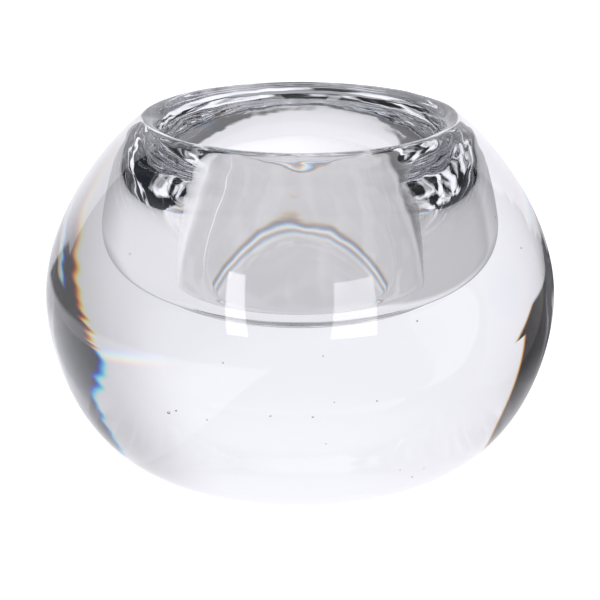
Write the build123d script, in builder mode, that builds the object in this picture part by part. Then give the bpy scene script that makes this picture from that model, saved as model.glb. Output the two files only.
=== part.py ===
from build123d import *
import os
from math import cos, radians, sin, sqrt

# Bowl for a small floating candle, gathered and shaped from one lump of thick clear glass.
# It is a single solid: the walls and the heavy base are one body of glass, with nothing fitted.
# The origin is the middle of the foot, on the surface that the bowl stands on, with +Z up.
# All lengths are in millimetres.

# Outside of the glass
body_diameter = 125.0
body_height = 87.0
girth_height = 42.5          # height of the widest place above the table
foot_diameter = 64.0         # ground and polished flat that the bowl rests on, crisp at its edge

# Rolled lip, an upright oval in section
mouth_diameter = 66.8        # narrowest place of the opening, inside the lip
lip_reach = 4.4              # from the mouth out to the crest of the lip
lip_drop = 4.6               # from the crest down to the mouth

# Candle well
well_diameter = 68.8         # widest place inside, low down near the floor
well_belly_height = 50.2     # height of that widest place above the table
base_thickness = 42.3        # solid glass under the middle of the well
well_floor_diameter = 52.2   # flat that a tealight can stand on, before its corner is rounded
well_floor_slope = 38.0      # degrees, how steeply the side of the well meets the flat
well_corner_round = 2.5      # softened corner between the two

# How far each curve of the outline is drawn out before it turns, as shares of its own span
heel_reach_share = 0.77
heel_rise_share = 0.078
lower_side_share = 0.31
crest_share = 0.076
throat_share = 0.40
belly_share = 0.40
well_side_share = 0.74
well_bottom_share = 0.60

body_radius = body_diameter / 2
foot_radius = foot_diameter / 2
mouth_radius = mouth_diameter / 2
well_radius = well_diameter / 2
well_floor_radius = well_floor_diameter / 2
crest_radius = mouth_radius + lip_reach
mouth_height = body_height - lip_drop

# Handles of the outline's curves.
# The two curves that meet at the girth bend equally there, so that no line shows in the glass.
heel_reach = heel_reach_share * (body_radius - foot_radius)
heel_rise = heel_rise_share * girth_height
lower_side = lower_side_share * girth_height
crest_reach = crest_share * (body_radius - crest_radius)
shoulder_span = body_radius - crest_radius - crest_reach
heel_span = body_radius - foot_radius - heel_reach
shoulder_side = lower_side * sqrt(shoulder_span / heel_span)
throat_drop = throat_share * (mouth_height - well_belly_height)
belly_rise = belly_share * (mouth_height - well_belly_height)
well_side = well_side_share * (well_belly_height - base_thickness)
well_bottom = well_bottom_share * (well_radius - well_floor_radius)
well_bottom_reach = well_bottom * cos(radians(well_floor_slope))
well_bottom_rise = well_bottom * sin(radians(well_floor_slope))

with BuildPart() as glass_bowl:
    with BuildSketch(Plane.XZ):
        with BuildLine():
            foot = Line((0, 0), (foot_radius, 0))
            lower = Bezier(
                foot @ 1,
                (foot_radius + heel_reach, heel_rise),
                (body_radius, girth_height - lower_side),
                (body_radius, girth_height),
            )
            shoulder = Bezier(
                lower @ 1,
                (body_radius, girth_height + shoulder_side),
                (crest_radius + crest_reach, body_height),
                (crest_radius, body_height),
            )
            lip = EllipticalCenterArc(
                (crest_radius, mouth_height), lip_reach, lip_drop, start_angle=90, arc_size=90
            )
            well_wall = Bezier(
                lip @ 1,
                (mouth_radius, mouth_height - throat_drop),
                (well_radius, well_belly_height + belly_rise),
                (well_radius, well_belly_height),
            )
            well_bowl = Bezier(
                well_wall @ 1,
                (well_radius, well_belly_height - well_side),
                (well_floor_radius + well_bottom_reach, base_thickness + well_bottom_rise),
                (well_floor_radius, base_thickness),
            )
            well_floor = Line(well_bowl @ 1, (0, base_thickness))
            Line(well_floor @ 1, foot @ 0)
        make_face()
    revolve(axis=Axis.Z)
    rings = glass_bowl.edges().filter_by(GeomType.CIRCLE)
    well_corner = [
        ring for ring in rings
        if abs(ring.radius - well_floor_radius) < well_corner_round
        and abs(ring.center().Z - base_thickness) < well_corner_round
    ]
    fillet(well_corner, well_corner_round)

glass_bowl.part.label = "glass_bowl"

os.makedirs("parts", exist_ok=True)
export_step(glass_bowl.part, "parts/glass_bowl.step")
print("volume, cubic centimetres:", round(glass_bowl.part.volume / 1000, 1))
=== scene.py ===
# %% [markdown]
# # A floating candle bowl in thick clear glass
# The real thing is one lump of glass: a rounded body, a rolled lip and a round well over a very heavy base.
# Clear glass has no colour of its own to paint. All that we see in it is the room, bent and mirrored,
# so the work is in three places: an exact and very smooth surface, the small faults of handmade glass,
# and a studio whose white and dark parts stand where the real ones stood.

# %% Load the measured model as a fixed frame
from math import cos, e, pi, radians, sin, sqrt, tan

import bpy
import numpy as np
from mathutils.bvhtree import BVHTree
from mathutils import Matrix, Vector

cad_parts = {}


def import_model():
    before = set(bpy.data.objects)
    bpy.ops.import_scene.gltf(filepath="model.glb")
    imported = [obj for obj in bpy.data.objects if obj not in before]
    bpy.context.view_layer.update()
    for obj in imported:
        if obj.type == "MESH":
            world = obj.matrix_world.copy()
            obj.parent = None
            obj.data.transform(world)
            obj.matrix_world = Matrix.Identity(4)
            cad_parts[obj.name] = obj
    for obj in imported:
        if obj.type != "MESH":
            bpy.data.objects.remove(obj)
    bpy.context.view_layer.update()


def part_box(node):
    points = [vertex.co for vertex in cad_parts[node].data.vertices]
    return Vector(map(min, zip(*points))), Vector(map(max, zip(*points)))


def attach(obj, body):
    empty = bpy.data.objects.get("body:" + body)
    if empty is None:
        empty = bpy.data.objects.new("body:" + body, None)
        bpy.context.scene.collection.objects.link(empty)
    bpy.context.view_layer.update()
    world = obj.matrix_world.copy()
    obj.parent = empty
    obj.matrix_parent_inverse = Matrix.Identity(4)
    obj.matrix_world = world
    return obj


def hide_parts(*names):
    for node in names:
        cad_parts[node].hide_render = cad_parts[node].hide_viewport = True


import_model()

MM = 0.001                                   # one millimetre, in metres
low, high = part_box("glass_bowl")
print("the bowl's box, in millimetres:", [round((h - l) / MM, 2) for l, h in zip(low, high)])

# %% [markdown]
# ## The camera
# The photo looks a little down on the bowl. The outline of a round body tells the angle: the flatter the
# mouth looks, the lower the camera stands. A long lens from half a metre away keeps the sides from leaning.
# The picture is 600 pixels wide, so a focal length in pixels becomes one in millimetres
# when it is multiplied by the sensor's width and divided by 600.

# %% Camera
PICTURE_PIXELS = 600
SENSOR_MM = 36.0
CAMERA_ELEVATION = radians(17.97)
CAMERA_DISTANCE = 0.500
FOCAL_PIXELS = 2019.7
CENTRE_ROW = 286.3                           # picture row on which the middle of the bowl's axis lies

body_height = high[2] - low[2]
aim = np.array([0.0, 0.0, body_height / 2])
ahead = np.array([0.0, cos(CAMERA_ELEVATION), -sin(CAMERA_ELEVATION)])
upward = np.array([0.0, sin(CAMERA_ELEVATION), cos(CAMERA_ELEVATION)])
camera_place = aim - CAMERA_DISTANCE * ahead
camera_data = bpy.data.cameras.new("camera")
camera_data.sensor_width = SENSOR_MM
camera_data.lens = FOCAL_PIXELS * SENSOR_MM / PICTURE_PIXELS
camera_data.shift_y = (CENTRE_ROW - PICTURE_PIXELS / 2) / PICTURE_PIXELS
camera_data.clip_start = 10 * MM
camera = bpy.data.objects.new("camera", camera_data)
camera.location = camera_place.tolist()
camera.rotation_euler = (pi / 2 - CAMERA_ELEVATION, 0.0, 0.0)
bpy.context.scene.collection.objects.link(camera)
bpy.context.scene.camera = camera
print("lens, in millimetres:", round(camera_data.lens, 1))

# %% [markdown]
# ## The outline of the glass
# A glassmaker turns the bowl on an iron, so every level of it is a circle and one outline says it all.
# It could be traced with many points, but points make flats, and flats show at once in clear glass.
# So the outline is a few smooth curves, each with two ends and two handles, drawn from the same sizes
# as the solid model: foot, lower side, shoulder, lip, wall of the well, its round bottom and its floor.

# %% Sizes of the outline
body_radius = min(high[0], high[1], -low[0], -low[1])
foot_radius = 32.0 * MM
girth_height = 42.5 * MM
mouth_radius = 33.4 * MM
lip_reach = 4.4 * MM
lip_drop = 4.6 * MM
well_radius = 34.4 * MM
well_belly_height = 50.2 * MM
base_thickness = 42.3 * MM
well_floor_radius = 26.1 * MM
well_floor_slope = radians(38.0)
well_corner_round = 2.5 * MM
crest_radius = mouth_radius + lip_reach
mouth_height = body_height - lip_drop
print("widest, in millimetres:", round(2 * body_radius / MM, 2), " mouth:", round(2 * mouth_radius / MM, 2))

# %% Handles and points of the outline
HEEL_REACH_SHARE = 0.77                      # each handle is a share of its own curve's span
HEEL_RISE_SHARE = 0.078
LOWER_SIDE_SHARE = 0.31
CREST_SHARE = 0.076
THROAT_SHARE = 0.40
BELLY_SHARE = 0.40
WELL_SIDE_SHARE = 0.74
WELL_BOTTOM_SHARE = 0.60
POINTS = {                                   # along each stretch: most of them where light skims the glass
    "foot": 8, "side": 54, "shoulder": 100, "lip": 24, "wall": 66, "well bottom": 40, "corner": 8, "floor": 8,
}
INNERMOST_RING = 0.05                        # the rings beside the two poles, as a share of the flat's radius
FOOT_LAST_RING = 0.998                       # just inside the foot's edge, which keeps that edge crisp
ARRIVING_FROM = -6                           # point of the well's bottom that gives its direction at the corner


def drawn_curve(ends_and_handles, count):
    """Points (radius, height) of a curve with two ends and two handles.

    Each point is the mix of the four given points with the weights (1-t)^3, 3(1-t)^2 t, 3(1-t) t^2 and t^3,
    where t runs from 0 at the first end to 1 at the last.
    """
    t = np.linspace(0.0, 1.0, count)[:, None]
    first, leaving, arriving, last = np.array(ends_and_handles)
    return (1 - t) ** 3 * first + 3 * (1 - t) ** 2 * t * leaving + 3 * (1 - t) * t**2 * arriving + t**3 * last


print("a drawn curve starts and ends at:", drawn_curve([(0, 0), (0, 1), (1, 2), (2, 2)], 3)[[0, -1]].tolist())

# %% The outside, from the middle of the foot up to the mouth
def outside_curves():
    """Foot, lower side, shoulder and lip, which is a quarter of an upright oval.

    Side and shoulder bend equally where they meet at the girth. The bend there is 2/3 of a curve's span
    over the square of its handle, so the handles are in the ratio of the square roots of the spans.
    """
    heel_reach = HEEL_REACH_SHARE * (body_radius - foot_radius)
    heel_rise = HEEL_RISE_SHARE * girth_height
    lower_side = LOWER_SIDE_SHARE * girth_height
    crest_reach = CREST_SHARE * (body_radius - crest_radius)
    shoulder_span = body_radius - crest_radius - crest_reach
    shoulder_side = lower_side * sqrt(shoulder_span / (body_radius - foot_radius - heel_reach))

    foot_rings = np.linspace(INNERMOST_RING, FOOT_LAST_RING, POINTS["foot"]) * foot_radius
    side = drawn_curve([
        (foot_radius, 0.0),
        (foot_radius + heel_reach, heel_rise),
        (body_radius, girth_height - lower_side),
        (body_radius, girth_height),
    ], POINTS["side"])
    shoulder = drawn_curve([
        (body_radius, girth_height),
        (body_radius, girth_height + shoulder_side),
        (crest_radius + crest_reach, body_height),
        (crest_radius, body_height),
    ], POINTS["shoulder"])
    turn = np.linspace(0.0, pi / 2, POINTS["lip"])
    lip = np.stack([crest_radius - lip_reach * np.sin(turn), mouth_height + lip_drop * np.cos(turn)], axis=1)
    foot = np.stack([foot_rings, 0 * foot_rings], axis=1)
    return {"foot": foot, "side": side, "shoulder": shoulder[1:], "lip": lip[1:]}


outside = outside_curves()
print("points on each stretch of the outside:", {name: len(points) for name, points in outside.items()})

# %% [markdown]
# ### The well
# Inside, the wall leans out a little on its way down, turns in through a round bottom and meets a flat floor.
# The photo shows that meeting as one thin dark line, so the corner is small, but it is round: molten glass
# never keeps a sharp inner corner.

# %% A rounded corner
def rounded_corner(before_it, corner, after_it, radius, count):
    """Points of the arc that rounds a corner: it touches both lines at radius x tan(half the turn) from it."""
    corner = np.array(corner)
    arriving = (corner - before_it) / np.linalg.norm(corner - before_it)
    leaving = (after_it - corner) / np.linalg.norm(after_it - corner)
    turn = np.arccos(np.clip(arriving @ leaving, -1.0, 1.0))
    setback = radius * tan(turn / 2)
    side = np.sign(arriving[0] * leaving[1] - arriving[1] * leaving[0])
    start = corner - setback * arriving
    centre = start + side * radius * np.array([-arriving[1], arriving[0]])
    angle = np.arctan2(*(start - centre)[::-1]) + side * np.linspace(0.0, turn, count)
    return centre + radius * np.stack([np.cos(angle), np.sin(angle)], axis=1)


square_corner = rounded_corner(np.array([0.0, 1.0]), (0.0, 0.0), np.array([1.0, 0.0]), 0.25, 3)
print("a square corner rounded by a quarter:", (square_corner.round(3) + 0.0).tolist())

# %% The inside, from the mouth down to the middle of the well's floor
def well_curves():
    """Wall, round bottom, rounded corner and floor of the well."""
    upper_well = mouth_height - well_belly_height
    lower_well = well_belly_height - base_thickness
    handle = WELL_BOTTOM_SHARE * (well_radius - well_floor_radius)
    handle_end = (
        well_floor_radius + handle * cos(well_floor_slope),
        base_thickness + handle * sin(well_floor_slope),
    )
    wall = drawn_curve([
        (mouth_radius, mouth_height),
        (mouth_radius, mouth_height - THROAT_SHARE * upper_well),
        (well_radius, well_belly_height + BELLY_SHARE * upper_well),
        (well_radius, well_belly_height),
    ], POINTS["wall"])
    bottom = drawn_curve([
        (well_radius, well_belly_height),
        (well_radius, well_belly_height - WELL_SIDE_SHARE * lower_well),
        handle_end,
        (well_floor_radius, base_thickness),
    ], POINTS["well bottom"])
    meeting, middle = (well_floor_radius, base_thickness), np.array([0.0, base_thickness])
    corner = rounded_corner(bottom[ARRIVING_FROM], meeting, middle, well_corner_round, POINTS["corner"])
    bottom = bottom[bottom[:, 1] > corner[0, 1]]
    floor_rings = np.linspace(1.0, INNERMOST_RING, POINTS["floor"])[1:] * corner[-1, 0]
    floor = np.stack([floor_rings, np.full(len(floor_rings), base_thickness)], axis=1)
    return {"wall": wall[1:], "well bottom": bottom[1:], "corner": corner, "floor": floor}


stretches = {**outside, **well_curves()}
outline = np.concatenate(list(stretches.values()))
stretch_of = np.concatenate([[name] * len(points) for name, points in stretches.items()])
print("points on the whole outline:", len(outline))

# %% [markdown]
# ## Turning the outline
# Every point of the outline becomes a ring, and neighbouring rings are joined by four-sided faces.
# Blender's Spin or Screw would do it too, but a grid of places is easy to shape further by height and angle.

# %% Rings and the faces between them
AROUND = 300


def turned_grid(points, around):
    """Places on the surface: each outline point (r, z) at angle a goes to (r cos a, r sin a, z)."""
    angle = np.arange(around) * 2 * pi / around
    radius, height = points[:, 0][:, None], points[:, 1][:, None]
    return np.stack([radius * np.cos(angle), radius * np.sin(angle), height + 0 * angle], axis=-1)


def closed_faces(rings, around, first_vertex=0, inwards=False):
    """Quads between neighbouring rings, facing outwards, and a fan of triangles at each of the two poles.

    Ring k starts at first_vertex + k x around, and the two poles come after the last ring.
    A face that is to look inwards has its corners in the opposite order.
    """
    ring = np.arange(rings - 1)[:, None] * around
    here = np.arange(around)[None, :]
    there = (here + 1) % around
    quads = np.stack([ring + here, ring + there, ring + around + there, ring + around + here], axis=-1)
    here, there = here[0], there[0]
    first_pole, last_pole = rings * around, rings * around + 1
    last_ring = (rings - 1) * around
    first_fan = np.stack([np.full(around, first_pole), there, here], axis=1)
    last_fan = np.stack([np.full(around, last_pole), last_ring + here, last_ring + there], axis=1)
    order = -1 if inwards else 1
    blocks = (quads.reshape(-1, 4), first_fan, last_fan)
    quads, first_fan, last_fan = [(block + first_vertex)[:, ::order].tolist() for block in blocks]
    return quads + first_fan + last_fan


faces = closed_faces(len(outline), AROUND)
print("rings:", len(outline), " faces of the bowl:", len(faces))

# %% [markdown]
# ## Ripples
# The hot lip was opened with tools while the bowl turned, so faint ripples run round it and round the
# shoulder and the upper well. They are too shallow to see as a shape, but where light skims the glass
# they break it into the marbled patches of the photo. A bump map could fake them, yet it leaves the surface
# itself round, and here light crosses it a dozen times. So the ripples are real shape, and only the very
# finest streaks are left to a bump later.

# %% Where the ripples are
RIPPLE_SHARES = {                            # share of the ripples at the start and the end of each stretch
    "shoulder": (-1.2, 1.0), "lip": (1.0, 1.0), "wall": (1.0, -0.35),
}


def ripple_share(names):
    """How much of the ripples each outline point carries: 3t^2 - 2t^3, where t is the share along its stretch.

    The share is kept within 0 and 1, so a start below 0 means that the ripples begin part of the way along.
    """
    share = np.zeros(len(names))
    for name, (first, last) in RIPPLE_SHARES.items():
        here = names == name
        along = np.clip(np.linspace(first, last, here.sum()), 0.0, 1.0)
        share[here] = 3 * along**2 - 2 * along**3
    return share


rippled = ripple_share(stretch_of)
print("rings that carry ripples:", int((rippled > 0).sum()), "of", len(outline))

# %% Ripples
RIPPLES = 40
RIPPLE_SLOPE = 0.009                         # steepest part of each single ripple
LONGEST_RIPPLE, SHORTEST_RIPPLE = 12 * MM, 3.5 * MM
RIPPLE_LEAN = 0.60                           # how far the ripples lean off the level rings, in radians
RIPPLE_DRAW = 7                              # which draw of the chance ripples is taken
FRONT_SHARE = 0.25                           # share of the ripples left at front and back, against the sides


def ripples(points, share, around):
    """Depth of the ripples at each point and angle: a sum of cosines of (turns x angle + rate x way + start).

    Way is the length along the outline. Each ripple's height is its slope x its length / (2 pi).
    They are strongest at the two sides, where the tongs held the lip, and follow cos^2 of the angle from there,
    and the outermost place of all is taken as zero, so that the ripples only ever take glass away.
    """
    chance = np.random.default_rng(RIPPLE_DRAW)
    way = np.concatenate([[0.0], np.cumsum(np.linalg.norm(np.diff(points, axis=0), axis=1))])[:, None]
    angle = (np.arange(around) * 2 * pi / around)[None, :]
    depth = np.zeros((len(points), around))
    for _ in range(RIPPLES):
        length = LONGEST_RIPPLE * (SHORTEST_RIPPLE / LONGEST_RIPPLE) ** chance.random()
        lean, start = RIPPLE_LEAN * chance.standard_normal(), chance.random() * 2 * pi
        turns = round(2 * pi * well_radius / length * sin(lean))
        rate = 2 * pi / length * cos(lean)
        depth += RIPPLE_SLOPE * length / (2 * pi) * np.cos(turns * angle + rate * way + start)
    sides = FRONT_SHARE + (1 - FRONT_SHARE) * np.cos(angle) ** 2
    depth *= share[:, None] * sides
    return depth - share[:, None] * depth.min()


ripple_depth = ripples(outline, rippled, AROUND)
print("deepest ripple, in millimetres:", round(float(ripple_depth.max()) / MM, 3))

# %% [markdown]
# ### The tool's mark
# One shallow hollow in the front of the well's wall is where the tool rested. It bends the curved lines that
# the well shows, as the photo does. A sculpting brush would press it in too, but two bell curves, one by
# height and one by angle, put it exactly where it is wanted.

# %% Tool mark, and the surface with both pushed into it
MARK_BEARING = radians(-87.0)                # a little right of the front
MARK_HEIGHT, MARK_HALF_HEIGHT = 63 * MM, 6 * MM
MARK_HALF_WIDTH = radians(10.0)
MARK_DEPTH = 0.20 * MM


def tool_mark(points, names, around):
    """One shallow hollow at the front of the well's wall: a bell curve by height times one by angle."""
    angle = np.arange(around) * 2 * pi / around
    off_middle = np.angle(np.exp(1j * (angle - MARK_BEARING)))
    up_down = np.exp(-((points[:, 1] - MARK_HEIGHT) / MARK_HALF_HEIGHT) ** 2) * (names == "wall")
    return MARK_DEPTH * up_down[:, None] * np.exp(-(off_middle / MARK_HALF_WIDTH) ** 2)


def pushed_in(grid, points, depth):
    """The grid moved into the glass by depth, square to the outline, whose normal is (rise, -run) / step."""
    step = np.gradient(points, axis=0)
    normal = np.stack([step[:, 1], -step[:, 0]], axis=1)
    normal /= np.linalg.norm(normal, axis=1)[:, None]
    angle = np.arange(grid.shape[1]) * 2 * pi / grid.shape[1]
    move = -depth * normal[:, 0][:, None]
    lift = -depth * normal[:, 1][:, None]
    return grid + np.stack([move * np.cos(angle), move * np.sin(angle), lift], axis=-1)


depth = ripple_depth + tool_mark(outline, stretch_of, AROUND)
grid = pushed_in(turned_grid(outline, AROUND), outline, depth)
poles = np.array([[0.0, 0.0, outline[0, 1]], [0.0, 0.0, outline[-1, 1]]])
vertices = np.vstack([grid.reshape(-1, 3), poles])
print("deepest place with the mark, in millimetres:", round(float(depth.max()) / MM, 3))

# %% [markdown]
# ## Seeds
# Handmade glass holds small air bubbles, which glassmakers call seeds. Each is a tiny closed hollow,
# so it is modelled as one: a small sphere whose faces look into the hollow, because that is where the glass
# ends. Dots painted on the surface would be quicker, but they would not sparkle or sit in the depth.
# Their places come from the photo: a line of sight goes through the picture at the seed, bends where it
# enters the glass, and the seed is set on it, a chosen way in.

# %% Where the seeds are
GLASS_BEND = 1.50
SEED_VIEWS = [                               # picture column, picture row, way into the glass and radius in mm
    (169, 413, 14, 0.36), (176, 411, 16, 0.24), (207, 420, 20, 0.20), (270, 416, 22, 0.24),
    (313, 417, 18, 0.26), (334, 402, 24, 0.18), (377, 401, 15, 0.20), (417, 321, 9, 0.20),
    (223, 363, 12, 0.17), (326, 444, 16, 0.17), (323, 356, 10, 0.16), (521, 248, 10, 0.20),
    (495, 217, 8, 0.20), (130, 254, 7, 0.20), (400, 470, 12, 0.18), (412, 477, 9, 0.22),
    (424, 468, 11, 0.16), (431, 481, 8, 0.18),
]


def bent(direction, normal, bend):
    """Direction of a ray after it enters glass: it keeps 1/bend of its sideways part, and its length stays 1."""
    inward = -float(direction @ normal)
    sideways = direction + inward * normal
    kept = sideways / bend
    return kept - sqrt(1.0 - float(kept @ kept)) * normal


def seed_places(surface):
    """Centre and radius of each seed: where its line of sight enters the glass, plus its way on the bent ray."""
    places = []
    for column, row, way, radius in SEED_VIEWS:
        across = np.array([column - PICTURE_PIXELS / 2, 0.0, 0.0])
        sight = FOCAL_PIXELS * ahead + (CENTRE_ROW - row) * upward + across
        sight /= np.linalg.norm(sight)
        entry, normal, _, _ = surface.ray_cast(camera_place.tolist(), sight.tolist())
        inside = bent(sight, np.array(normal), GLASS_BEND)
        places.append((np.array(entry) + way * MM * inside, radius * MM))
    return places


seeds = seed_places(BVHTree.FromPolygons(vertices.tolist(), faces))
print("seeds:", len(seeds), " lowest, in millimetres:", round(min(centre[2] for centre, _ in seeds) / MM, 1))

# %% Seeds as hollows, and one mesh for the glass
SEED_ROUND, SEED_RINGS = 14, 7


def small_sphere(centre, radius):
    """Places on a small sphere: a turned half circle (sin a, -cos a), with its two poles after the last ring."""
    rise = pi * (np.arange(SEED_RINGS) + 1) / (SEED_RINGS + 1)
    circle = np.stack([np.sin(rise), -np.cos(rise)], axis=1)
    grid = turned_grid(circle, SEED_ROUND).reshape(-1, 3)
    return centre + radius * np.vstack([grid, [[0.0, 0.0, -1.0], [0.0, 0.0, 1.0]]])


for centre, radius in seeds:
    faces += closed_faces(SEED_RINGS, SEED_ROUND, first_vertex=len(vertices), inwards=True)
    vertices = np.vstack([vertices, small_sphere(centre, radius)])
bowl_mesh = bpy.data.meshes.new("glass_body")
bowl_mesh.from_pydata(vertices.tolist(), [], faces)
bowl_mesh.polygons.foreach_set("use_smooth", [True] * len(bowl_mesh.polygons))
bowl = bpy.data.objects.new("glass_body", bowl_mesh)
bpy.context.scene.collection.objects.link(bowl)
print("vertices and faces with the seeds:", len(bowl_mesh.vertices), len(bowl_mesh.polygons))

# %% [markdown]
# ## Small tools for materials
# A material or a world is a tree of nodes that pass numbers on. A formula with many steps is quicker to read
# as short calls than as a wired picture. Node groups would do too, but calls can be read without opening them.
# These helpers each add one node, or a few, and give back the output of the last.

# %% Helpers that add nodes
def number(tree, operation, *values):
    """One Math node with these inputs, which may be numbers or other nodes' outputs."""
    node = tree.nodes.new("ShaderNodeMath")
    node.operation = operation
    for socket, value in zip(node.inputs, values):
        if isinstance(value, (int, float)):
            socket.default_value = value
        else:
            tree.links.new(value, socket)
    return node.outputs[0]


def product(tree, *values):
    """All the values multiplied together."""
    result = values[0]
    for value in values[1:]:
        result = number(tree, "MULTIPLY", result, value)
    return result


def largest(tree, *values):
    """The largest of the values."""
    result = values[0]
    for value in values[1:]:
        result = number(tree, "MAXIMUM", result, value)
    return result


def rest(tree, share):
    """What is left of 1 when the share is taken away."""
    return number(tree, "SUBTRACT", 1.0, share)


print("helpers for numbers:", [helper.__name__ for helper in (number, product, largest, rest)])

# %% Helpers for soft edges
def rises(tree, value, start, end):
    """0 below start, 1 above end, and smooth between them."""
    node = tree.nodes.new("ShaderNodeMapRange")
    node.interpolation_type = "SMOOTHSTEP"
    node.inputs["From Min"].default_value = start
    node.inputs["From Max"].default_value = end
    tree.links.new(value, node.inputs["Value"])
    return node.outputs["Result"]


def falls(tree, value, start, end):
    """1 below start, 0 above end, and smooth between them."""
    return rest(tree, rises(tree, value, start, end))


def past(tree, value, edge, soft):
    """1 past the edge and 0 before it, with this much softness on each side of it."""
    return rises(tree, value, edge - soft, edge + soft)


def before(tree, value, edge, soft):
    """1 before the edge and 0 past it, with this much softness on each side of it."""
    return falls(tree, value, edge - soft, edge + soft)


def wander(tree, along, reach):
    """A small chance shift that changes along an edge, so that the edge is not ruled: reach x (noise - 0.5)."""
    noise = tree.nodes.new("ShaderNodeTexNoise")
    noise.noise_dimensions = "1D"
    noise.inputs["Scale"].default_value = 1.0
    noise.inputs["Detail"].default_value = 1.0
    tree.links.new(along, noise.inputs["W"])
    return number(tree, "MULTIPLY", number(tree, "SUBTRACT", noise.outputs[0], 0.5), reach)


print("helpers for edges:", [helper.__name__ for helper in (rises, falls, past, before, wander)])

# %% Helpers for places and colours
def separated(tree, vector):
    """The three parts of a place or a direction."""
    node = tree.nodes.new("ShaderNodeSeparateXYZ")
    tree.links.new(vector, node.inputs[0])
    return node.outputs


def distance(tree, x, y):
    """Length of the step (x, y)."""
    return number(tree, "SQRT", number(tree, "ADD", number(tree, "POWER", x, 2.0), number(tree, "POWER", y, 2.0)))


def colour(tree, channels, tint):
    """Red, green and blue joined to one colour, each multiplied by its part of the tint."""
    node = tree.nodes.new("ShaderNodeCombineColor")
    for socket, channel, part in zip(node.inputs, channels, tint):
        tree.links.new(number(tree, "MULTIPLY", channel, part), socket)
    return node.outputs[0]


print("helpers for places and colours:", [helper.__name__ for helper in (separated, distance, colour)])

# %% [markdown]
# ## Clear glass
# The Principled shader with full transmission and no roughness is clear smooth glass. The Glass shader would
# look the same, but other programs read the Principled one best. Thick glass also takes a little light with
# depth, slightly more of red than of blue, which a Volume Absorption node gives.
# Round the lip, fine streaks that glassmakers call cords run along the level rings. They are far finer than
# the mesh, so they are the one thing left to a bump.

# %% Cords
CORDS_FROM, CORDS_TO = 0.066, 0.082          # height over which the cords begin
CORDS_ACROSS, CORDS_ALONG = 380.0, 220.0     # cords in a metre, across and along their run
CORDS_HEIGHT = 0.008 * MM


def cords(tree):
    """Bump of the finest streaks round the lip and the shoulder: noise stretched along the level rings.

    Its third coordinate is height less radius, which runs across the rings on the shoulder, the lip and the wall.
    """
    x, y, z = separated(tree, tree.nodes.new("ShaderNodeTexCoord").outputs["Object"])
    across = product(tree, number(tree, "SUBTRACT", z, distance(tree, x, y)), CORDS_ACROSS)
    streak = tree.nodes.new("ShaderNodeCombineXYZ")
    for socket, value in zip(streak.inputs, (product(tree, x, CORDS_ALONG), product(tree, y, CORDS_ALONG), across)):
        tree.links.new(value, socket)
    noise = tree.nodes.new("ShaderNodeTexNoise")
    noise.inputs["Scale"].default_value = 1.0
    noise.inputs["Detail"].default_value = 1.0
    tree.links.new(streak.outputs[0], noise.inputs["Vector"])
    bump = tree.nodes.new("ShaderNodeBump")
    bump.inputs["Distance"].default_value = CORDS_HEIGHT
    tree.links.new(product(tree, noise.outputs[0], rises(tree, z, CORDS_FROM, CORDS_TO)), bump.inputs["Height"])
    return bump.outputs[0]


print("from one cord to the next, in millimetres:", round(1 / CORDS_ACROSS / MM, 1))

# %% Glass
GLASS_COLOUR = (0.99, 0.99, 0.99, 1.0)
GLASS_DEPTH_COLOUR = (0.9795, 0.981, 0.9845, 1.0)
GLASS_DEPTH_DENSITY = 48.0                   # light lost in a metre is this x (1 - colour), as a power of e


def clear_glass():
    """Clear smooth glass: it bends light as lead-free table glass does, and takes a little of it with depth."""
    material = bpy.data.materials.new("clear_glass")
    material.use_nodes = True
    tree = material.node_tree
    shader = tree.nodes["Principled BSDF"]
    shader.inputs["Base Color"].default_value = GLASS_COLOUR
    shader.inputs["Roughness"].default_value = 0.0
    shader.inputs["IOR"].default_value = GLASS_BEND
    shader.inputs["Transmission Weight"].default_value = 1.0
    tree.links.new(cords(tree), shader.inputs["Normal"])
    absorption = tree.nodes.new("ShaderNodeVolumeAbsorption")
    absorption.inputs["Color"].default_value = GLASS_DEPTH_COLOUR
    absorption.inputs["Density"].default_value = GLASS_DEPTH_DENSITY
    tree.links.new(absorption.outputs[0], tree.nodes["Material Output"].inputs["Volume"])
    return material


bowl_mesh.materials.append(clear_glass())
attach(bowl, "root")
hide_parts("glass_bowl")
left_of_red = e ** (-GLASS_DEPTH_DENSITY * (1 - GLASS_DEPTH_COLOUR[0]) * 2 * body_radius)
print("share of red light left after crossing the widest place:", round(left_of_red, 3))

# %% [markdown]
# ## The studio
# Glass shows only what stands around it, so the room is built from what the photo's glass shows.
# Behind the bowl is a wide white backdrop, a little shaded on the right, and past both of its edges the
# room is dark: those dark parts draw the rim of the bowl. Two tall lamps stand in front, beside the camera,
# and the ceiling is bright. Real lamps and boards would do too, but a formula in the world gives the glass
# clean edges without grain.
# Each part is placed by its bearing, which is 0 straight behind the bowl and grows to the right, and by its
# height above the level, both in degrees as the bowl sees them.
#
# ### Fringes of colour
# Glass bends blue light more than red, so each edge stands a little further left for red than for blue, and
# a thin coloured fringe lies along it. Splitting every ray by its colour would show that too, but takes many
# times the samples. Here the room is worked out three times, once for each colour, with its parts moved
# apart by spread x way.

# %% Three colours
COLOUR_WAYS = {"red": 1, "green": 0, "blue": -1}
COLOUR_SPREAD = 1.1                          # degrees between the edges for red and green, or green and blue
SPREAD_LEFT = 0.35                           # share of the colour spread on the left hand edge
SPREAD_GROWS_AT = (-20.0, 20.0)              # bearings over which the spread grows to its full size


def spread_at(tree, bearing, bent_light):
    """Degrees between neighbouring colours by bearing: a part of the spread on the left, all of it on the right.

    Light that was only mirrored is not split, so it is for bent light alone.
    """
    grown = number(tree, "MULTIPLY_ADD", rises(tree, bearing, *SPREAD_GROWS_AT), 1.0 - SPREAD_LEFT, SPREAD_LEFT)
    return product(tree, grown, bent_light, COLOUR_SPREAD)


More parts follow.
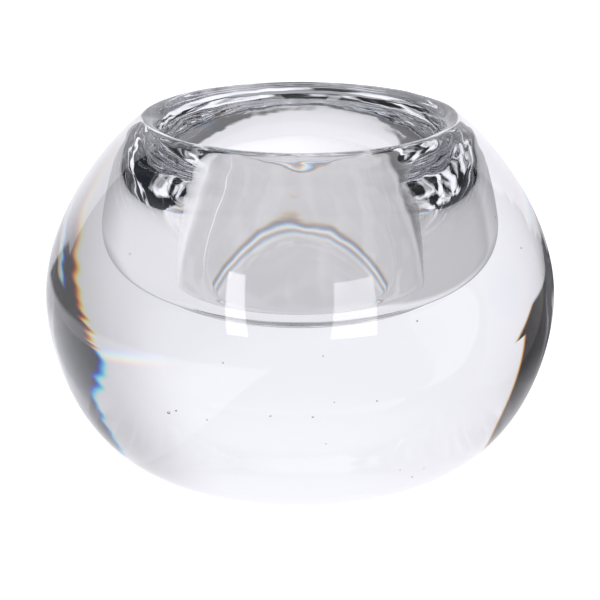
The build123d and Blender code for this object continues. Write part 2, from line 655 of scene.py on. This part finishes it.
print("degrees from red to blue, left and right:", round(2 * COLOUR_SPREAD * SPREAD_LEFT, 2), 2 * COLOUR_SPREAD)

# %% [markdown]
# ### White paper
# The backdrop is one wide roll of white paper that runs down and forwards under the bowl. It is white from
# edge to edge, but farther from the light on the right. A bent plane with a material would do too, but an edge
# is easier to put right as a bearing than as a place. Paper hung by hand has no ruled edge, so the right hand
# edge wanders a little on its way up.

# %% White paper
PAPER = 1.06
SHADE, SHADE_AT = 0.36, (14.0, 38.0)         # loss towards the right, and the bearings over which it grows
SIDE_SHADE, SIDE_SHADE_AT = 0.22, (50.0, 80.0)
LEFT_EDGE, LEFT_EDGE_SOFT = -48.5, 1.0
RIGHT_EDGE, RIGHT_EDGE_SOFT = 38.5, 1.5
RIGHT_EDGE_LEAN, LEAN_AT = 7.5, (2.0, 14.0)  # how much further right it stands above these heights
WANDER = 11.0                                # degrees over which the right hand edge wanders
WANDER_IN_DEGREE = 0.17                      # its changes in a degree of height
BACKDROP_TOP, TOP_SOFT = 62.0, 10.0


def white_at(tree, bearing):
    """Brightness of the white paper by bearing, as a share: 1 - back - side, which both grow to the right."""
    back = product(tree, rises(tree, bearing, *SHADE_AT), SHADE)
    side = product(tree, rises(tree, bearing, *SIDE_SHADE_AT), SIDE_SHADE)
    return number(tree, "SUBTRACT", rest(tree, back), side)


def backdrop_at(tree, bearing, height, straight_bearing, straight_height):
    """Brightness of the backdrop: the paper's white between its left edge, its leaning right edge and its top.

    The edges are taken where this colour sees them, and the shade and the wandering where green sees them.
    """
    lean = product(tree, rises(tree, height, *LEAN_AT), -RIGHT_EDGE_LEAN)
    uneven = wander(tree, product(tree, straight_height, WANDER_IN_DEGREE), WANDER)
    right = number(tree, "ADD", bearing, number(tree, "ADD", lean, uneven))
    return product(
        tree,
        past(tree, bearing, LEFT_EDGE, LEFT_EDGE_SOFT),
        before(tree, right, RIGHT_EDGE, RIGHT_EDGE_SOFT),
        before(tree, height, BACKDROP_TOP, TOP_SOFT),
        white_at(tree, straight_bearing),
        PAPER,
    )


print("width of the white backdrop, in degrees:", RIGHT_EDGE - LEFT_EDGE)

# %% [markdown]
# ### A fold in the paper
# One light streak in the photo's glass runs level across the left of the base and is tinted like a rainbow.
# A straight fold in the paper on the right, seen through the bowl as through a lens, draws such a streak.
# A bent sheet would do too, but as a formula the line can be put straight where the glass shows it.
# On a table, the distance of a straight line changes with the bearing, and 1 / distance changes almost evenly.

# %% Fold
FOLD = 0.17                                  # light that the fold adds to the paper
FOLD_BEARING = 23.0
FOLD_NEAR, FOLD_TURN = 2.72, 0.196           # 1 / distance at that bearing, and the fall of that in a degree
FOLD_HALF = 1.1
FOLD_SPREAD = 0.6
FOLD_STARTS, FOLD_ENDS = (18.0, 30.0), (35.0, 40.0)


def fold_line(tree, bearing, nearness, way):
    """Light of the fold in the paper: a soft line, straight on the table, by bearing and by 1 / distance."""
    at_zero = FOLD_NEAR + FOLD_BEARING * FOLD_TURN - FOLD_SPREAD * way
    middle = number(tree, "MULTIPLY_ADD", bearing, -FOLD_TURN, at_zero)
    off_line = number(tree, "ABSOLUTE", number(tree, "SUBTRACT", nearness, middle))
    ends = product(tree, rises(tree, bearing, *FOLD_STARTS), falls(tree, bearing, *FOLD_ENDS))
    return product(tree, falls(tree, off_line, 0.0, FOLD_HALF), ends, FOLD)


print("distance of the fold at its bearing, in metres:", round(1 / FOLD_NEAR, 3))

# %% [markdown]
# ### Counting the light's meetings with glass
# Through thick glass we see the room in many ways at once: straight through, or mirrored inside once or a
# dozen times. A real studio is full of small things that a formula leaves out, and each way shows others.
# Light Path's Ray Depth counts the meetings of the light with glass, so a shade can be kept for one way:
# in and out is 2 meetings, one mirroring between makes 3, and in and out twice, through the well, makes 4.
# The count belongs to the light and not to the camera, so it holds in every view.

# %% Ways through the glass
OFF_THE_OUTSIDE, STRAIGHT_THROUGH, MIRRORED_ONCE = 1, 2, 3
DEEP_IN_ROOM, DEEP_ON_TABLE = 4, 5           # light with more meetings than this was mirrored many times
DEEPEST = 7


def more_than(tree, meetings, times):
    """1 for light that met the glass more often than this, else 0."""
    return number(tree, "GREATER_THAN", meetings, times + 0.5)


def exactly(tree, meetings, times):
    """1 for light that met the glass just this often, else 0."""
    return number(tree, "COMPARE", meetings, float(times), 0.5)


print("meetings: straight through", STRAIGHT_THROUGH, " mirrored once", MIRRORED_ONCE, " deepest over", DEEPEST)

# %% [markdown]
# ### The rest of the room
# The lamps stand beside the camera and lean, because the bowl's shoulder mirrors them. The dark parts of the
# room grow a little lighter with height, and on the right they are bluish. Light that was mirrored many times
# shows the unlit upper half of the studio with its shelves and stands, as blots of light and dark.
# Seen from the side or from behind, a bowl on white paper looks white, so light that only went in and out
# finds white there too.

# %% Lamps, ceiling and dark parts
LAMPS = [                                    # bearing, lean, half width, bottom, top and level of each lamp
    (-154.5, 0.20, 4.6, 5.8, 35.0, 7.0),
    (157.7, -0.14, 10.0, 5.2, 33.0, 5.0),
]
LAMP_SOFT = 0.6
CEILING, CEILING_AT = 0.8, (35.0, 80.0)
FRONT = 0.20                                 # light of the room behind the camera
FRONT_AT, FRONT_TOP_AT = (140.0, 165.0), (26.0, 40.0)
DARK = 0.03
DARK_HIGH, DARK_HIGH_AT = 0.04, (15.0, 45.0)  # how much lighter the dark parts are at these heights
DARK_BLUE, DARK_BLUE_AT = 0.22, (0.0, 30.0)  # how much bluer they are at these bearings
ASIDE, ASIDE_AT = 0.97, (68.0, 76.0)         # white of the sides, and the bearings over which it begins


def leaning_lamp(tree, bearing, height, middle, lean, half_width, bottom, top, level):
    """A soft-edged upright lamp. Its middle stands at this bearing at level height and leans with height."""
    middle_here = number(tree, "MULTIPLY_ADD", height, lean, middle)
    off_middle = number(tree, "ABSOLUTE", number(tree, "SUBTRACT", bearing, middle_here))
    return product(
        tree,
        before(tree, off_middle, half_width, LAMP_SOFT),
        past(tree, height, bottom, LAMP_SOFT),
        before(tree, height, top, LAMP_SOFT),
        level,
    )


def dark_at(tree, height, straight_bearing, way):
    """Brightness of the dark parts of the room: DARK and a little more with height, less red on the right."""
    dark = number(tree, "MULTIPLY_ADD", rises(tree, height, *DARK_HIGH_AT), DARK_HIGH, DARK)
    blue = number(tree, "MULTIPLY_ADD", rises(tree, straight_bearing, *DARK_BLUE_AT), -DARK_BLUE * way, 1.0)
    return product(tree, dark, blue)


def white_aside(tree, bearing, straight_through):
    """White of the room beside and behind the camera, for light that only went in and out of the glass."""
    aside = rises(tree, number(tree, "ABSOLUTE", bearing), *ASIDE_AT)
    return product(tree, aside, straight_through, ASIDE)


print("widths of the lamps, in degrees:", [2 * half_width for _, _, half_width, *_ in LAMPS])

# %% The unlit half of the studio
CLUTTER_SCALE, CLUTTER_DETAIL, CLUTTER_TWIST = 6.0, 3.0, 0.6
CLUTTER_TURNS_AT = (0.46, 0.62)              # noise values between which the clutter turns from dark to light
CLUTTER_SIDES_AT, CLUTTER_HIGH_AT = (58.0, 66.0), (22.0, 27.0)
CLUTTER_LEVEL = 1.3
CLUTTER_ALL_ROUND = 0.9                      # its level for the light that was mirrored most often
GLOOM = 0.66                                 # how much darker the rest of the room is for deep light


def clutter_at(tree, direction, bearing, height, deep, deepest):
    """Brightness of the clutter, and what is left of the room between its light blots.

    Clutter is blots x level, high up and at the sides for deep light, and all round for the deepest.
    What is left is 1 - gloom x (1 - blots), for deep light alone.
    """
    noise = tree.nodes.new("ShaderNodeTexNoise")
    noise.inputs["Scale"].default_value = CLUTTER_SCALE
    noise.inputs["Detail"].default_value = CLUTTER_DETAIL
    noise.inputs["Distortion"].default_value = CLUTTER_TWIST
    tree.links.new(direction, noise.inputs["Vector"])
    blots = rises(tree, noise.outputs[0], *CLUTTER_TURNS_AT)
    sides = rises(tree, number(tree, "ABSOLUTE", bearing), *CLUTTER_SIDES_AT)
    clutter = product(tree, blots, sides, rises(tree, height, *CLUTTER_HIGH_AT), CLUTTER_LEVEL, deep)
    clutter = largest(tree, clutter, product(tree, blots, deepest, CLUTTER_ALL_ROUND))
    return clutter, rest(tree, product(tree, rest(tree, blots), deep, GLOOM))


print("size of a blot, in degrees, about:", round(180 / pi / CLUTTER_SCALE, 1))

# %% The whole room for one colour
SPREAD_IN_HEIGHT = -0.4                      # share of the spread by which the colours differ in height
GLASS_EYE = 0.018                            # height in the glass from which the low parts of the room are seen


def room_at(tree, straight_bearing, straight_height, spread, way, clutter, left_over, lamps_here):
    """Brightness of the room in one direction: the brightest of the parts that reach it.

    A colour sees each part at bearing + way x spread, and at height - 0.4 x way x spread. Below the level,
    1 / distance on the table is the angle down, in radians, over the height of the eye.
    """
    bearing = number(tree, "MULTIPLY_ADD", spread, way, straight_bearing)
    height = number(tree, "MULTIPLY_ADD", spread, SPREAD_IN_HEIGHT * way, straight_height)
    nearness = product(tree, straight_height, -pi / 180 / GLASS_EYE)
    paper = number(
        tree, "ADD",
        backdrop_at(tree, bearing, height, straight_bearing, straight_height),
        fold_line(tree, straight_bearing, nearness, way),
    )
    front = product(
        tree, rises(tree, number(tree, "ABSOLUTE", bearing), *FRONT_AT), falls(tree, height, *FRONT_TOP_AT), FRONT
    )
    ceiling = product(tree, rises(tree, height, *CEILING_AT), CEILING)
    lamps = [leaning_lamp(tree, bearing, height, *lamp) for lamp in LAMPS]
    lamps = product(tree, largest(tree, *lamps), lamps_here)
    dark = dark_at(tree, height, straight_bearing, way)
    return largest(tree, product(tree, largest(tree, paper, front, ceiling, lamps, dark), left_over), clutter)


print("nearest place seen 45 degrees down, in millimetres:", round(GLASS_EYE / (pi / 4) / MM, 1))

# %% [markdown]
# ### The studio as a world
# The world's texture coordinate is the direction of the light, from which bearing and height follow.
# The camera itself sees plain white behind the bowl. The lamps are bright, so that the outside of the bowl
# mirrors them well, but they are dimmed for light that went into the glass, where they would dazzle.
# The world's Ray Depth counts the step into the room too, so one is taken off.

# %% World
PAPER_TINT = (1.01, 1.0, 1.045)
LAMP_INSIDE = 0.06                           # share of the lamps' light for light that went into the glass

world = bpy.data.worlds.new("studio")
bpy.context.scene.world = world
world.use_nodes = True
tree = world.node_tree
tree.nodes.clear()
direction = tree.nodes.new("ShaderNodeTexCoord").outputs["Generated"]
east, north, up = separated(tree, direction)
bearing = product(tree, number(tree, "ARCTAN2", east, north), 180 / pi)
height = product(tree, number(tree, "ARCSINE", up), 180 / pi)
path = tree.nodes.new("ShaderNodeLightPath")
meetings = number(tree, "SUBTRACT", path.outputs["Ray Depth"], 1.0)
deep, deepest = more_than(tree, meetings, DEEP_IN_ROOM), more_than(tree, meetings, DEEPEST)
clutter, left_over = clutter_at(tree, direction, bearing, height, deep, deepest)
went_in = more_than(tree, meetings, OFF_THE_OUTSIDE)
lamps_here = number(tree, "MULTIPLY_ADD", went_in, LAMP_INSIDE - 1.0, 1.0)
spread = spread_at(tree, bearing, path.outputs["Is Transmission Ray"])
white = white_aside(tree, bearing, exactly(tree, meetings, STRAIGHT_THROUGH))
channels = [
    largest(tree, room_at(tree, bearing, height, spread, way, clutter, left_over, lamps_here),
            white, path.outputs["Is Camera Ray"])
    for way in COLOUR_WAYS.values()
]
background = tree.nodes.new("ShaderNodeBackground")
tree.links.new(colour(tree, channels, PAPER_TINT), background.inputs["Color"])
world_output = tree.nodes.new("ShaderNodeOutputWorld")
tree.links.new(background.outputs[0], world_output.inputs["Surface"])
print("nodes in the studio:", len(tree.nodes))

# %% [markdown]
# ## The table
# The bowl stands on white paper. Most of what the base shows is this paper, so its shades draw most of the
# picture: the dark parts past its two edges, the thin lines where the foot's edge rests on it, and the soft
# shadow behind the bowl. The camera sees it as a plain pale floor that takes the bowl's shadow. Light that came
# through the glass finds the shades below, each by its distance from the bowl's axis and its bearing.
# Each shade is a loss, and the paper keeps 1 - loss for each of them in turn, so a new one can be added
# without touching the others. A light line is a loss below 0.

# %% Paper's edges on the table
LEFT_EYE, RIGHT_EYE = 0.018, -0.043          # the bowl's lens makes the paper's edges meet beside its axis
LEFT_EDGE_ON_TABLE, RIGHT_EDGE_ON_TABLE, EDGE_ON_TABLE_SOFT = -43.5, 39.0, 1.5
LEFT_DARK_FROM, RIGHT_DARK_FROM, DARK_FROM_SOFT = 0.240, 0.092, 0.025
RIGHT_DARK = 0.15                            # how light the right hand dark still is
BAND_FROM, BAND_FROM_SOFT = 48.0, 1.0        # bearings between which the table is light again, on the right
BAND_TO, BAND_TO_SOFT = 54.5, 1.5
BAND_END, BAND_END_SOFT = 0.170, 0.015       # how far out that band reaches
WANDER_IN_TURN = 3.2                         # changes of the right hand edge while the distance grows 2.7 times


def bearing_from(tree, x, y, eye):
    """Bearing in degrees of a place on the table, taken from a point this far right of the bowl's axis."""
    return product(tree, number(tree, "ARCTAN2", number(tree, "SUBTRACT", x, eye), y), 180 / pi)


def left_dark(tree, x, y, away, shift):
    """Loss past the paper's left hand edge, from some way out."""
    bearing = number(tree, "MULTIPLY_ADD", shift, SPREAD_LEFT, bearing_from(tree, x, y, LEFT_EYE))
    return product(
        tree,
        before(tree, bearing, LEFT_EDGE_ON_TABLE, EDGE_ON_TABLE_SOFT),
        past(tree, away, LEFT_DARK_FROM, DARK_FROM_SOFT),
    )


def right_dark(tree, straight_bearing, away, shift, straight):
    """Loss past the paper's right hand edge, with one light band in it. The edge wanders with log(distance)."""
    uneven = wander(tree, product(tree, number(tree, "LOGARITHM", away, e), WANDER_IN_TURN), WANDER)
    bearing = number(tree, "ADD", number(tree, "SUBTRACT", straight_bearing, shift), uneven)
    band = product(
        tree,
        past(tree, bearing, BAND_FROM, BAND_FROM_SOFT),
        before(tree, bearing, BAND_TO, BAND_TO_SOFT),
        before(tree, away, BAND_END, BAND_END_SOFT),
    )
    return product(
        tree,
        past(tree, bearing, RIGHT_EDGE_ON_TABLE, EDGE_ON_TABLE_SOFT),
        past(tree, away, RIGHT_DARK_FROM, DARK_FROM_SOFT),
        rest(tree, band),
        straight,
        1.0 - RIGHT_DARK,
    )


print("millimetres from the axis to the dark parts:", round(LEFT_DARK_FROM / MM), round(RIGHT_DARK_FROM / MM))

# %% [markdown]
# ### Under the foot
# Looked at through the well, the ring where the foot meets the table shows as a double arched line with
# coloured fringes: dark, light, dark and light again. It wobbles a little, as a hand-finished edge does.
# A tiny groove round the foot would draw such lines too, but its shape can't be read from the photo, and
# lines on the paper can: the dark lines are painted contact shadow of the foot's edge, the light ones painted
# light.

# %% Lines under the foot
UNDER_FOOT, UNDER_FOOT_AT = 0.35, (0.055, 0.080)
# painted on the table for light through the well: dark lines are painted contact shadow, light lines painted light
RING_LINES = [                               # radius, half width and loss of each line
    (0.0322, 0.0014, 0.50), (0.0311, 0.0010, -0.34), (0.0300, 0.0012, 0.34), (0.0288, 0.0012, -0.16),
]
RING_WANDER = 0.0016                         # how far the lines wander in and out on their way round
RING_WANDER_IN_DEGREE = 0.05
RING_SPREAD = 0.00022                        # shift of the lines for each colour


def under_foot(tree, x, y, away, shift, through_well):
    """Losses under the bowl: one soft shade, and lines whose loss falls from the circle to their half width."""
    uneven = wander(tree, product(tree, bearing_from(tree, x, y, 0.0), RING_WANDER_IN_DEGREE), RING_WANDER)
    ring = number(tree, "ADD", number(tree, "MULTIPLY_ADD", shift, RING_SPREAD / COLOUR_SPREAD, away), uneven)
    losses = [product(tree, falls(tree, away, *UNDER_FOOT_AT), through_well, UNDER_FOOT)]
    for radius, half_width, loss in RING_LINES:
        off_line = number(tree, "ABSOLUTE", number(tree, "SUBTRACT", ring, radius))
        losses.append(product(tree, falls(tree, off_line, 0.0, half_width), loss, through_well))
    return losses


print("lines inside the foot's edge, in millimetres:",
      [round((foot_radius - radius) / MM, 1) for radius, _, _ in RING_LINES])

# %% [markdown]
# ### Shadow behind the bowl
# Light that was mirrored once inside the glass comes from the table just behind the bowl. There lies its
# shadow, whose darkest part is the thin dark line round the well's floor, and two dark spots close behind the
# foot, which the well's back wall shows below the lip. Cycles could find a shadow under clear glass by
# itself, but needs thousands of samples for it, so it is drawn as a few soft ovals.

# %% Shadows for light that was mirrored once
SHADOW, SHADOW_BEHIND, SHADOW_ACROSS, SHADOW_AT = 0.42, 0.078, 0.6, (0.010, 0.055)
CORE, CORE_BEHIND, CORE_ACROSS, CORE_AT = 0.55, 0.068, 0.4, (0.004, 0.013)
MIRRORED_LOSS = 0.15                         # loss all round, but for a light place just behind the foot
HEEL_ACROSS_AT, HEEL_FROM_AT, HEEL_TO_AT = (0.005, 0.020), (0.025, 0.033), (0.045, 0.060)
MIRRORED_RIGHT, MIRRORED_RIGHT_AT = 0.26, (0.045, 0.065)
# painted shade: two dark spots on the table close behind the foot, part of the bowl's painted shadow
SHADOW_SPOTS = 0.80
SHADOW_SPOTS_ACROSS_AT, SHADOW_SPOTS_FROM_AT, SHADOW_SPOTS_TO_AT = (0.006, 0.009), (0.0385, 0.0395), (0.045, 0.048)
SHADOW_SPOTS_RIGHT_AT, SHADOW_SPOTS_LEFT_AT = (0.0022, 0.0030), (0.0426, 0.0436)


def oval_shadow(tree, x, y, behind, across, at):
    """1 within an oval behind the bowl, 0 outside it. Across is how much less a step to the side counts."""
    step = distance(tree, product(tree, x, across), number(tree, "SUBTRACT", y, behind))
    return falls(tree, step, *at)


def mirrored_losses(tree, x, y, mirrored):
    """Losses behind the bowl: its shadow and the shadow's core, a loss all round and the two dark spots.

    The spots lie right of the axis, and left of it where y - x is past 43 mm.
    """
    shadow = product(tree, oval_shadow(tree, x, y, SHADOW_BEHIND, SHADOW_ACROSS, SHADOW_AT), mirrored, SHADOW)
    core = product(tree, oval_shadow(tree, x, y, CORE_BEHIND, CORE_ACROSS, CORE_AT), mirrored, CORE)
    off_axis = number(tree, "ABSOLUTE", x)
    heel = product(
        tree, falls(tree, off_axis, *HEEL_ACROSS_AT), rises(tree, y, *HEEL_FROM_AT), falls(tree, y, *HEEL_TO_AT)
    )
    around = number(tree, "MULTIPLY_ADD", heel, -MIRRORED_LOSS, MIRRORED_LOSS)
    around = number(tree, "MULTIPLY_ADD", rises(tree, x, *MIRRORED_RIGHT_AT), MIRRORED_RIGHT, around)
    beside = largest(
        tree, rises(tree, x, *SHADOW_SPOTS_RIGHT_AT), rises(tree, number(tree, "SUBTRACT", y, x), *SHADOW_SPOTS_LEFT_AT)
    )
    shadow_spots = product(
        tree, beside, falls(tree, off_axis, *SHADOW_SPOTS_ACROSS_AT),
        rises(tree, y, *SHADOW_SPOTS_FROM_AT), falls(tree, y, *SHADOW_SPOTS_TO_AT), mirrored, SHADOW_SPOTS,
    )
    return [shadow, core, product(tree, around, mirrored), shadow_spots]


print("middle of the shadow behind the girth, in millimetres:", round((SHADOW_BEHIND - body_radius) / MM, 1))

# %% The whole table for one colour
SHADE_FROM_BOWL_AT = (0.03, 0.11)            # distances over which the paper's shade begins
GLOOM_ON_TABLE = 0.20


def table_at(tree, x, y, spread, way, mirrored, through_well, deep):
    """Brightness of the table at a place: the paper's white x (1 - loss) for each loss, plus the fold's light."""
    away = distance(tree, x, y)
    shift = product(tree, spread, way)
    straight = rest(tree, mirrored)
    straight_bearing = bearing_from(tree, x, y, RIGHT_EYE)
    shade = product(
        tree, rest(tree, white_at(tree, straight_bearing)), rises(tree, away, *SHADE_FROM_BOWL_AT), straight
    )
    losses = [
        shade,
        product(tree, deep, GLOOM_ON_TABLE),
        left_dark(tree, x, y, away, shift),
        right_dark(tree, straight_bearing, away, shift, straight),
        *under_foot(tree, x, y, away, shift, through_well),
        *mirrored_losses(tree, x, y, mirrored),
    ]
    lit = product(tree, *[rest(tree, loss) for loss in losses])
    fold = fold_line(tree, straight_bearing, number(tree, "DIVIDE", 1.0, away), way)
    return largest(tree, product(tree, number(tree, "ADD", lit, fold), PAPER), DARK)


print("the paper's white for deep light:", round(PAPER * (1 - GLOOM_ON_TABLE), 2))

# %% Table top
TABLE_HALF = 4.0
TABLE_GAP = 0.1 * MM                         # air under the foot, so that the glass has a surface of its own there

table_mesh = bpy.data.meshes.new("table")
corners = [(-TABLE_HALF, -TABLE_HALF, 0), (TABLE_HALF, -TABLE_HALF, 0),
           (TABLE_HALF, TABLE_HALF, 0), (-TABLE_HALF, TABLE_HALF, 0)]
table_mesh.from_pydata(corners, [], [(0, 1, 2, 3)])
table_object = bpy.data.objects.new("table", table_mesh)
table_object.location.z = -TABLE_GAP
bpy.context.scene.collection.objects.link(table_object)
print("table's width, in metres:", table_object.dimensions.x)

# %% White paper as a material
TABLE_WHITE = (0.9, 0.9, 0.9, 1.0)
TABLE_LIFT = 0.75                            # light added for the camera, which makes the plain floor pale


def seen_through_glass(tree, path):
    """Glow of the table for light that came through the glass, or off it."""
    x, y, _ = separated(tree, tree.nodes.new("ShaderNodeTexCoord").outputs["Object"])
    meetings = path.outputs["Ray Depth"]
    spread = product(tree, path.outputs["Is Transmission Ray"], COLOUR_SPREAD)
    mirrored = exactly(tree, meetings, MIRRORED_ONCE)
    through_well = more_than(tree, meetings, MIRRORED_ONCE)
    deep = more_than(tree, meetings, DEEP_ON_TABLE)
    white = white_aside(tree, bearing_from(tree, x, y, 0.0), exactly(tree, meetings, STRAIGHT_THROUGH))
    channels = [
        largest(tree, table_at(tree, x, y, spread, way, mirrored, through_well, deep), white)
        for way in COLOUR_WAYS.values()
    ]
    glow = tree.nodes.new("ShaderNodeEmission")
    tree.links.new(colour(tree, channels, PAPER_TINT), glow.inputs["Color"])
    return glow.outputs[0]


def seen_directly(tree, path):
    """Plain white paper that takes the bowl's shadow, lifted a little for the camera alone."""
    paper = tree.nodes.new("ShaderNodeBsdfDiffuse")
    paper.inputs["Color"].default_value = TABLE_WHITE
    lift = tree.nodes.new("ShaderNodeEmission")
    tree.links.new(product(tree, path.outputs["Is Camera Ray"], TABLE_LIFT), lift.inputs["Strength"])
    both = tree.nodes.new("ShaderNodeAddShader")
    tree.links.new(paper.outputs[0], both.inputs[0])
    tree.links.new(lift.outputs[0], both.inputs[1])
    return both.outputs[0]


print("light that the paper throws back:", TABLE_WHITE[0], " and for the camera alone:", TABLE_LIFT)

# %% Table's material
material = bpy.data.materials.new("white_table")
material.use_nodes = True
tree = material.node_tree
tree.nodes.clear()
path = tree.nodes.new("ShaderNodeLightPath")
either = tree.nodes.new("ShaderNodeMixShader")
by_glass = largest(tree, path.outputs["Is Glossy Ray"], path.outputs["Is Transmission Ray"])
tree.links.new(by_glass, either.inputs[0])
tree.links.new(seen_directly(tree, path), either.inputs[1])
tree.links.new(seen_through_glass(tree, path), either.inputs[2])
output = tree.nodes.new("ShaderNodeOutputMaterial")
tree.links.new(either.outputs[0], output.inputs["Surface"])
table_mesh.materials.append(material)
print("nodes in the table's material:", len(tree.nodes))

# %% [markdown]
# ## Finish
# Inside the lip, light may be mirrored a dozen times before it leaves. Where Cycles gives up earlier, the glass
# turns black. Brighter lamps can't fill that in, because such light is never followed to its end, so the
# number of bounces is raised.

# %% Finish
MIRRORINGS = 16
bpy.context.scene.view_settings.view_transform = "Standard"
cycles = bpy.context.scene.cycles
cycles.max_bounces = cycles.glossy_bounces = cycles.transmission_bounces = MIRRORINGS
print("bounces of light:", cycles.max_bounces)
